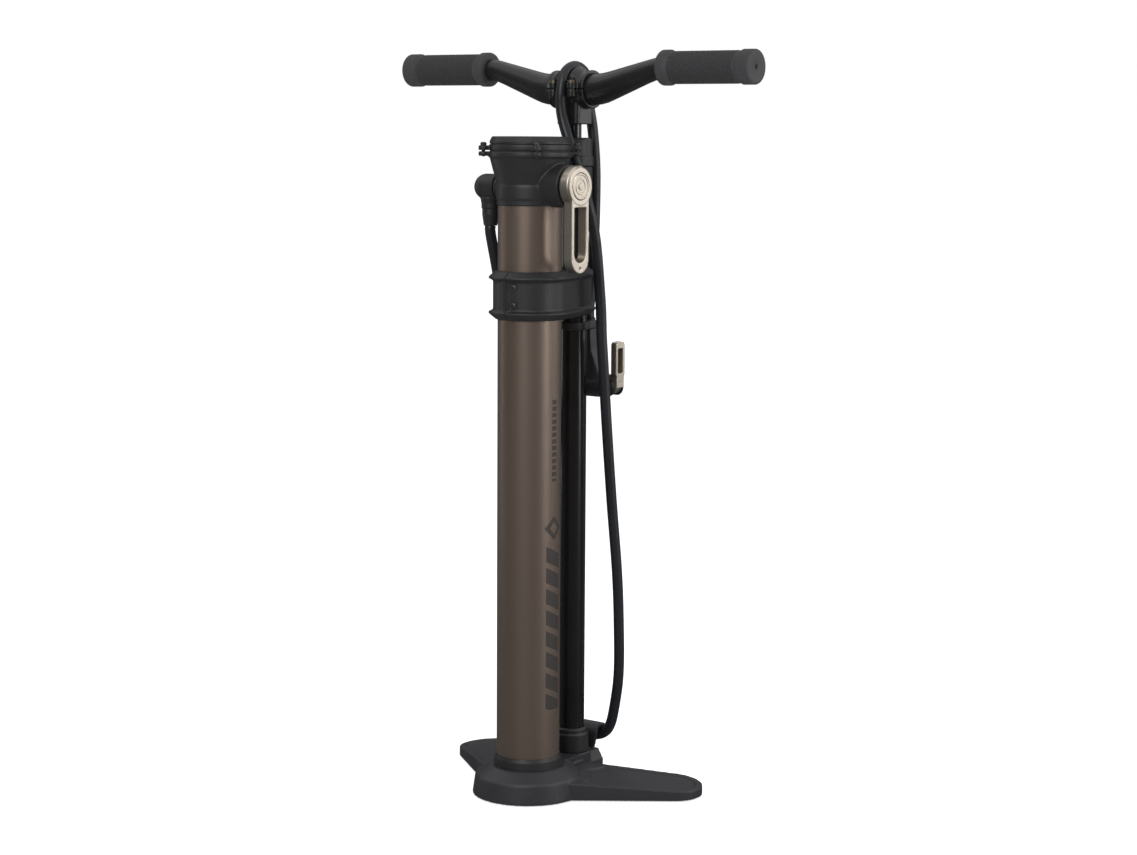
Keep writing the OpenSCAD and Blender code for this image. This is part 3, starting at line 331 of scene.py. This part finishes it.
# %% Anodised tube and its decal
BAR_GAPS, BAR_LEAN, BARS_LOW, BARS_HIGH, BARS_HALF = 46, 0.45, 0.093, 0.262, 0.0105
DIAMOND_Z, DIAMOND_INNER, DIAMOND_OUTER = 0.281, 0.0064, 0.0125
BAR_PART, DASH_PART = (0.16, 0.86), (0.12, 0.78)
DASH_GAPS, DASHES_LOW, DASHES_HIGH, DASHES_HALF = 150, 0.329, 0.414, 0.0035
INK_EDGE, INK_END = 0.0004, 0.0005
tube_low, tube_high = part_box("chamber_tube")
chamber_y = (tube_low.y + tube_high.y) / 2
chamber_r = (tube_high.x - tube_low.x) / 2
bronze = Finish("bronze_tube", (0.205, 0.158, 0.128), Metallic=0.85, Roughness=0.4)
blast = bronze.noise(2600, 2)
cloud = bronze.noise(9, 2, (1, 1, 0.3))
drawn = bronze.noise(420, 2, (1, 1, 0.01))
tinted = bronze.paint(cloud.above(0.52, 0.2) * 0.35 + drawn * 0.1, (0.25, 0.196, 0.16))
round_x, round_y, height = bronze.axis("X"), bronze.axis("Y") - chamber_y, bronze.axis("Z")
arc = round_y.math("ARCTAN2", round_x) * chamber_r
slant = ((height + arc * BAR_LEAN) * BAR_GAPS).math("FRACT")
bars = slant.between(*BAR_PART, 0.03) * height.between(BARS_LOW, BARS_HIGH, INK_END)
bars = bars * arc.between(-BARS_HALF, BARS_HALF, INK_EDGE)
from_middle = arc.math("ABSOLUTE") + (height - DIAMOND_Z).math("ABSOLUTE")
diamond = from_middle.between(DIAMOND_INNER, DIAMOND_OUTER, INK_EDGE)
dashes = (height * DASH_GAPS).math("FRACT").between(*DASH_PART, 0.04)
dashes = dashes * height.between(DASHES_LOW, DASHES_HIGH, INK_END)
dashes = dashes * arc.between(-DASHES_HALF, DASHES_HALF, 0.0003)
right_side = round_x.above(0, 0.001)
decal = ((bars + diamond + dashes) * right_side).math("MINIMUM", 1)
bronze.paint(decal * 0.93, (0.016, 0.014, 0.013), under=tinted)
bronze.link(0.36 + cloud * 0.08 + drawn * 0.05 + decal * 0.08, "Roughness")
bronze.link(0.85 - decal * 0.8, "Metallic")
bronze.bump(blast, 0.00004)
print("chamber radius", round(chamber_r, 4), "m, decal up to", DASHES_HIGH, "m")

# %% [markdown]
# ## Paint and bare metal
# The barrel is gloss black paint, which is a dark base under a clear coat, and sprayed paint dries
# with a faint ripple, called orange peel. One function makes the three blacks, from the gloss
# barrel to the dull screws, because only their colour, gloss and coat differ.

# %% Painted metal
PEEL, PEEL_DEPTH = 300, 0.00002  # ripples a metre, and metres


def painted(name, colour, rough, coat):
    finish = Finish(name, colour, Roughness=rough, Coat_Weight=coat, Coat_Roughness=0.12)
    finish.link(rough - 0.03 + finish.noise(20, 2) * 0.08, "Roughness")
    dusty = tuple(c * 1.6 + 0.002 for c in colour)
    finish.paint(finish.noise(16, 3).above(0.55, 0.2) * 0.5, dusty)
    finish.bump(finish.noise(PEEL, 2), PEEL_DEPTH)
    return finish


black_tube = painted("black_tube", (0.004, 0.004, 0.0045), 0.24, 0.4)
black_bar = painted("black_bar", (0.006, 0.006, 0.0066), 0.34, 0.2)
dark_steel = painted("dark_steel", (0.018, 0.018, 0.02), 0.4, 0.1)
print("finishes with the paints:", len(bpy.data.materials))

# %% [markdown]
# Levers like these are usually die cast and brushed, then given a pale gold colour by plating.
# Brushing leaves fine lines all one way, so the noise is stretched along them by squeezing its
# place on that axis. The rod's noise is stretched across it instead, like marks from turning.

# %% Metals
def metal(name, colour, rough, stretch, scale=900, marks=0.12, depth=0.00002):
    finish = Finish(name, colour, Metallic=1.0, Roughness=rough)
    streak = finish.noise(scale, 3, stretch)
    patch = finish.noise(60, 2)
    darker = tuple(c * 0.78 for c in colour)
    finish.paint(streak * 0.5 + patch.above(0.5, 0.3) * 0.3, darker)
    finish.link(rough - marks / 2 + streak * marks + patch * 0.06, "Roughness")
    finish.bump(streak, depth)
    return finish


champagne = metal("champagne", (0.80, 0.72, 0.61), 0.34, (1, 1, 0.06))
steel = metal("steel", (0.60, 0.59, 0.57), 0.28, (1, 1, 1), scale=700)
brass = metal("brass", (0.72, 0.52, 0.24), 0.3, (1, 1, 0.1))
rod_steel = metal("rod_steel", (0.09, 0.09, 0.095), 0.22, (0.2, 0.2, 1), marks=0.05)
bolt_steel = metal("bolt_steel", (0.26, 0.21, 0.15), 0.38, (1, 1, 1), scale=700)
print("finishes with the metals:", len(bpy.data.materials))

# %% [markdown]
# The gauge has a white printed dial, a red needle and a clear lens over them. Clear plastic could
# be a transmission shader, which bends light but takes long to render and is lost in some viewers.
# A thin lens bends almost nothing, so a low alpha with a bright surface reflection looks right.

# %% Small plastics, dial and lens
white_acetal = moulded("white_acetal", (0.72, 0.72, 0.68), 0.4)
dial_white = moulded("dial_white", (0.84, 0.84, 0.81), 0.55, grain=2500, depth=0.00001)
needle_red = moulded("needle_red", (0.6, 0.03, 0.015), 0.3, grain=2500, depth=0.00001)
ink = moulded("dial_ink", (0.012, 0.012, 0.014), 0.6, grain=2500, depth=0.00001)
lens_clear = Finish("lens_clear", (0.9, 0.94, 0.96), Roughness=0.04, IOR=1.49, Alpha=0.14,
                    Specular_IOR_Level=0.8)
smear = lens_clear.noise(90, 3)
lens_clear.link(0.03 + smear.above(0.55, 0.2) * 0.08, "Roughness")
lens_clear.bump(smear, 0.00001)
print("finishes with the gauge's:", len(bpy.data.materials))

# %% [markdown]
# ## Dressing the CAD pieces
# The record names a material slot for each piece of the CAD, like a parts list that says what
# each piece is made of. Looking the finish up by that name dresses all of them in one loop.

# %% Each CAD node takes the finish of its slot
FINISHES = {
    "base_nylon": base_nylon, "black_nylon": black_nylon, "black_rubber": black_rubber,
    "grip_rubber": grip_rubber, "hose_rubber": hose_rubber, "bronze_tube": bronze,
    "black_tube": black_tube, "black_bar": black_bar, "champagne": champagne, "steel": steel,
    "dark_steel": dark_steel, "brass": brass, "rod_steel": rod_steel,
    "white_acetal": white_acetal, "dial_white": dial_white, "needle_red": needle_red,
    "lens_clear": lens_clear}
slot_of = {part["node"]: part["material_slot"] for part in frame["record"]["subparts"]}


def dress(thing, finish):
    thing.data.materials.clear()
    thing.data.materials.append(finish.material)


for node_name, thing in frame["nodes"].items():
    for place in thing.material_slots:
        place.material = FINISHES[slot_of[node_name]].material
for place in frame["nodes"]["clamp_bolts"].material_slots:
    place.material = bolt_steel.material
dress(hose, hose_rubber)
print("finishes:", len(FINISHES))

# %% [markdown]
# ## Soft edges on the mouldings
# A moulding has no knife edges: the steel mould is rounded everywhere, and those small radii
# catch the light. The CAD bodies are sharp, so a copy of each moulding is remeshed into a fine
# even grid and smoothed a few times, which rounds every edge by about the size of a voxel.

# %% Remesh and smooth a copy of a node
BODY_OF = {n: b for b, ns in frame["record"]["behaviour"]["bodies"].items() for n in ns}


def soften(node_name, voxel, passes):
    source = frame["nodes"][node_name]
    soft = bpy.data.objects.new(node_name + "_soft", source.data.copy())
    scene.collection.objects.link(soft)
    weld = soft.modifiers.new("weld", "WELD")
    weld.merge_threshold = 1e-6
    grid = soft.modifiers.new("grid", "REMESH")
    grid.mode, grid.voxel_size = "VOXEL", voxel
    relax = soft.modifiers.new("relax", "SMOOTH")
    relax.factor, relax.iterations = 0.5, passes
    bpy.context.view_layer.update()
    shown = soft.evaluated_get(bpy.context.evaluated_depsgraph_get())
    mesh = bpy.data.meshes.new_from_object(shown)
    soft.modifiers.clear()
    soft.data = mesh
    mesh.shade_smooth()
    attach(soft, BODY_OF[node_name])
    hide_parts(node_name)
    dress(soft, FINISHES[slot_of[node_name]])
    return soft


SOFTENED = {
    "base_body": (0.001, 3), "head_casting": (0.0009, 4), "clamp_left": (0.0008, 3),
    "clamp_right": (0.0008, 3), "release_lever": (0.00055, 4), "head_lever": (0.0004, 4),
    "head_body": (0.0006, 6), "outlet_elbow": (0.0006, 5), "handle_stem": (0.0007, 4),
    "clamp_cap": (0.0006, 4), "barrel_cap": (0.0006, 4), "barrel_foot_nut": (0.0006, 4),
    "head_dock": (0.0006, 4), "gauge_case": (0.0008, 2)}
for node_name, (voxel, passes) in SOFTENED.items():
    soft = soften(node_name, voxel, passes)
    print(node_name, "softened:", len(soft.data.vertices), "vertices")

# %% [markdown]
# ## The spring over the check ball
# The one-way valve's spring is squeezed a little when the ball lifts: its top stays in the cage and
# its bottom goes with the ball. Here a copy of it is made with its place baked in, and dressed in
# steel.

# %% Spring between cage and ball
spring = bpy.data.objects.new("valve_spring", frame["nodes"]["check_spring"].data.copy())
scene.collection.objects.link(spring)
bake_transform(spring)
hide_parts("check_spring")
dress(spring, steel)

# %% [markdown]
# ## Knurled grips
# Bump alone would leave the grips' outline straight, so the diamonds are real: a lathe profile
# whose radius goes up and down with the angle and the place along the grip. The outer end has a
# small hole in it, as the sleeve is pushed on over the bar and the air has to get out.

# %% Grips
GRIP_SIDES, GRIP_STEP = 168, 0.00062
FLANGE_RISE, FLANGE_INNER, FLANGE_OUTER, FLANGE_SLOPE = 0.0018, 0.009, 0.0135, 0.004
CORNER_R, INNER_RING, FACE_DIP, RIM_W, DISH_W = 0.0022, 0.72, 0.0002, 0.0045, 0.006
GROOVE_AT, GROOVE_W, GROOVE_DEPTH = 0.0155, 0.0008, 0.0006
KNURL_DEPTH, KNURL_ZERO, KNURL_FADE = 0.0008, 0.6, 0.002
HOLE_R, HOLE_ROUND, HOLE_DEPTH = 0.0022, 0.0008, 0.006
flange_r = (grip_high.z - grip_low.z) / 2
grip_r = flange_r - FLANGE_RISE


def grip_profile(x):
    """Outer radius at a distance x from the inner end of the grip."""
    from_outer = grip_length - x
    flange = max(0, 1 - max(0, x - FLANGE_INNER) / FLANGE_SLOPE,
                 1 - max(0, from_outer - FLANGE_OUTER) / FLANGE_SLOPE)
    radius = grip_r + FLANGE_RISE * flange * flange * (3 - 2 * flange)
    for reach in (x, from_outer):
        if reach < CORNER_R:
            radius -= CORNER_R - math.sqrt(max(0, CORNER_R ** 2 - (CORNER_R - reach) ** 2))
    groove = math.exp(-((from_outer - GROOVE_AT) / GROOVE_W) ** 2)
    return radius - GROOVE_DEPTH * groove


def knurl(x, angle):
    """Height of the diamonds, 0 to 1, fading out toward the flanges."""
    fade = min(1, max(0, (x - KNURL_FROM_INNER) / KNURL_FADE))
    fade *= min(1, max(0, (grip_length - x - KNURL_FROM_OUTER) / KNURL_FADE))
    u, v = KNURL_TURNS / 2 * angle, x / KNURL_PITCH * math.pi
    return fade * min(1, 1.5 * abs(math.sin(u + v)) * abs(math.sin(u - v))) if fade else 0


def grip(name, side, body):
    """A sleeve as rings of points: the inner end, the outside, then the hole in the outer end."""
    steps = round(grip_length / GRIP_STEP)
    face = grip_length - FACE_DIP
    rings = [(0.0, grip_profile(0) * INNER_RING)]
    rings += [(k / steps * grip_length, None) for k in range(steps + 1)]
    rings += [(grip_length, flange_r - RIM_W), (face, flange_r - DISH_W),
              (face, HOLE_R + HOLE_ROUND), (grip_length - 0.001, HOLE_R),
              (grip_length - HOLE_DEPTH, HOLE_R)]
    verts, faces = [], []
    for x, fixed in rings:
        raised = KNURL_DEPTH if x > KNURL_FROM_INNER else 0
        for k in range(GRIP_SIDES):
            angle = math.tau * k / GRIP_SIDES
            radius = fixed or grip_profile(x) + raised * (knurl(x, angle) - KNURL_ZERO)
            verts.append((side * (grip_low.x + x), radius * math.cos(angle),
                          grip_z + radius * math.sin(angle)))
    for i in range(len(rings) - 1):
        for k in range(GRIP_SIDES):
            a, b = i * GRIP_SIDES + k, i * GRIP_SIDES + (k + 1) % GRIP_SIDES
            quad = (a, b, b + GRIP_SIDES, a + GRIP_SIDES)
            faces.append(quad if side > 0 else quad[::-1])
    last = len(verts) - GRIP_SIDES
    cap = tuple(range(last, len(verts)))
    first = tuple(range(GRIP_SIDES - 1, -1, -1))
    faces += [cap, first] if side > 0 else [cap[::-1], first[::-1]]
    made = mesh_object(name, verts, faces, body)
    dress(made, grip_rubber)
    return made


for side, label in ((1, "grip_right"), (-1, "grip_left")):
    made = grip(label + "_knurled", side, "handle")
    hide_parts(label)
    print(label, len(made.data.vertices), "vertices")

# %% [markdown]
# ## Printed dial
# A pump gauge reads over three quarters of a turn, from the lower left round to the lower right.
# The marks are thin printed shapes: long ticks at the numbers, short ones between, an arc that
# ties them, and plain numbers. Each is a flat mesh a twentieth of a millimetre thick. Radii are
# given as a part of the dial's own radius.

# %% Dial marks
dial_low, dial_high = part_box("gauge_dial")
dial_r = (dial_high.x - dial_low.x) / 2
dial_centre = Vector((0, (dial_low.y + dial_high.y) / 2, dial_high.z))
PRINT_FROM, PRINT_T = 0.00001, 0.00006
START_DEG, SWEEP_DEG, TOP_READING = 225, 270, 160
ARC_DEG, ARC_INNER, ARC_OUTER = 3, 0.9, 0.915
TICK_INNER = {"long": 0.79, "middle": 0.83, "short": 0.865}
TICK_W = {"long": 0.0007, "middle": 0.00035, "short": 0.00035}
NUMBER_AT, NUMBER_SIZE, UNIT_AT, UNIT_SIZE = 0.65, 0.0062, 0.42, 0.0055


def flat_piece(marks, corners):
    """Adds a thin prism over the corners, which are given in the dial's plane."""
    below = [marks.verts.new((x, y, PRINT_FROM)) for x, y in corners]
    above = [marks.verts.new((x, y, PRINT_T)) for x, y in corners]
    marks.faces.new(below[::-1])
    marks.faces.new(above)
    for i in range(len(corners)):
        j = (i + 1) % len(corners)
        marks.faces.new((below[i], below[j], above[j], above[i]))


def polar(radius, degrees):
    return radius * math.cos(math.radians(degrees)), radius * math.sin(math.radians(degrees))


def tick(marks, degrees, inner, outer, width):
    side = math.degrees(width / 2 / outer)
    flat_piece(marks, [polar(inner, degrees - side), polar(outer, degrees - side),
                       polar(outer, degrees + side), polar(inner, degrees + side)])


def digits(marks, text, at, size):
    """Adds a number's outline, converted to a mesh, centred on a point of the dial."""
    curve = bpy.data.curves.new("digits", "FONT")
    curve.body, curve.size, curve.extrude = text, size, PRINT_T / 2
    curve.align_x, curve.align_y = "CENTER", "CENTER"
    curve.resolution_u = 3
    holder = bpy.data.objects.new("digits", curve)
    scene.collection.objects.link(holder)
    bpy.context.view_layer.update()
    shape = bpy.data.meshes.new_from_object(
        holder.evaluated_get(bpy.context.evaluated_depsgraph_get()))
    shape.transform(Matrix.Translation((at[0], at[1], PRINT_T / 2 + PRINT_FROM)))
    marks.from_mesh(shape)
    bpy.data.objects.remove(holder)


marks = bmesh.new()
for k in range(SWEEP_DEG // ARC_DEG):
    before, after = START_DEG - ARC_DEG * (k - 0.5), START_DEG - ARC_DEG * (k + 0.5)
    flat_piece(marks, [polar(dial_r * ARC_OUTER, before), polar(dial_r * ARC_OUTER, after),
                       polar(dial_r * ARC_INNER, after), polar(dial_r * ARC_INNER, before)])
for reading in range(0, TOP_READING + 1, 2):
    degrees = START_DEG - SWEEP_DEG * reading / TOP_READING
    kind = "long" if reading % 20 == 0 else "middle" if reading % 10 == 0 else "short"
    tick(marks, degrees, dial_r * TICK_INNER[kind], dial_r * ARC_INNER, TICK_W[kind])
    if kind == "long":
        digits(marks, str(reading), polar(dial_r * NUMBER_AT, degrees), NUMBER_SIZE)
digits(marks, "psi", (0, -dial_r * UNIT_AT), UNIT_SIZE)
marks.transform(Matrix.Translation(dial_centre))
mesh = bpy.data.meshes.new("dial_marks")
marks.to_mesh(mesh)
marks.free()
dial_marks = bpy.data.objects.new("dial_marks", mesh)
scene.collection.objects.link(dial_marks)
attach(dial_marks, "pump")
dress(dial_marks, ink)
print("dial marks:", len(mesh.polygons), "faces")

# %% [markdown]
# ## Smooth tubes
# The CAD's round walls arrive as narrow flat strips. Marking edges as sharp only where two faces
# meet at a real corner lets the strips shade as one curve and keeps the corners crisp.

# %% Shade what stays from the CAD
CORNER_DEG = 28
for thing in frame["nodes"].values():
    thing.data.shade_smooth()
    thing.data.set_sharp_from_angle(angle=math.radians(CORNER_DEG))
print("nodes shaded:", len(frame["nodes"]))

# %% [markdown]
# ## Floor and light
# The set is white paper, and the pump on it is nearly all black. White paper would turn every
# black wall grey, so the floor is left out of reflections and only seen directly. A little glow
# of its own keeps it white to the horizon and makes the shadow light.

# %% Floor
HALF, FLOOR_DROP = 30, 0.0002
corners = [(-HALF, -HALF, 0), (HALF, -HALF, 0), (HALF, HALF, 0), (-HALF, HALF, 0)]
floor = mesh_object("floor", corners, [(0, 1, 2, 3)])
floor.location.z = -FLOOR_DROP
floor.visible_glossy = False
floor_finish = Finish("floor_paper", (0.93, 0.93, 0.93), Roughness=0.8,
                      Emission_Color=(1, 1, 1, 1), Emission_Strength=0.6)
floor_finish.bump(floor_finish.noise(300, 2), 0.0001)
dress(floor, floor_finish)
print("floor", 2 * HALF, "m across")

# %% [markdown]
# Two tall soft panels stand on the right: one gives the streak down the right of each tube, the
# other, further back, is mirrored in the flat face of the levers. A wide one in front is hung
# high, so it shows in the top of the tube and fades out lower down. A thin strip far left draws
# the left edges. The broad sun stands for a lit ceiling.

# %% Light
LAMPS_FACE = Vector((0, 0, 0.5))


def lamp(name, bearing, reach, low, high, width, watts):
    """A soft upright panel at a bearing in degrees and a reach from the pump, facing it."""
    data = bpy.data.lights.new(name, "AREA")
    data.shape, data.size, data.size_y, data.energy = "RECTANGLE", width, high - low, watts
    made = bpy.data.objects.new(name, data)
    at = Vector((*polar(reach, bearing), (low + high) / 2))
    made.location = at
    made.rotation_euler = (LAMPS_FACE - at).to_track_quat("-Z", "Y").to_euler()
    scene.collection.objects.link(made)
    print(name, "at", [round(v, 2) for v in at])


lamp("panel_right", bearing=10, reach=2.3, low=0.1, high=1.9, width=0.6, watts=16)
lamp("panel_back", bearing=52, reach=2.3, low=0.2, high=1.9, width=1.0, watts=8.5)
lamp("panel_front", bearing=-74, reach=2.6, low=0.9, high=2.3, width=1.3, watts=26)
lamp("strip_left", bearing=-165, reach=1.8, low=0.0, high=1.8, width=0.25, watts=2.5)

# %% [markdown]
# The surround is white where it is looked at and dim where it only lights things, like a white
# backdrop behind the pump with a dark studio behind the camera.

# %% Surround
SEEN_WHITE, LIT_DIM, SUN_POWER, SUN_DEG = 1.0, 0.085, 1.7, 120
world = bpy.data.worlds.new("studio")
world.use_nodes = True
surround = world.node_tree
seen = surround.nodes["Background"]
seen.inputs["Color"].default_value = (1, 1, 1, 1)
seen.inputs["Strength"].default_value = SEEN_WHITE
lit = surround.nodes.new("ShaderNodeBackground")
lit.inputs["Color"].default_value = (0.95, 0.97, 1, 1)
lit.inputs["Strength"].default_value = LIT_DIM
chooser = surround.nodes.new("ShaderNodeMixShader")
looker = surround.nodes.new("ShaderNodeLightPath")
surround.links.new(looker.outputs["Is Camera Ray"], chooser.inputs[0])
surround.links.new(lit.outputs[0], chooser.inputs[1])
surround.links.new(seen.outputs[0], chooser.inputs[2])
surround.links.new(chooser.outputs[0], surround.nodes["World Output"].inputs["Surface"])
scene.world = world
sun_data = bpy.data.lights.new("ceiling", "SUN")
sun_data.energy, sun_data.angle = SUN_POWER, math.radians(SUN_DEG)
sun = bpy.data.objects.new("ceiling", sun_data)
scene.collection.objects.link(sun)
scene.view_settings.view_transform = "Standard"
print("lights:", len(bpy.data.lights))
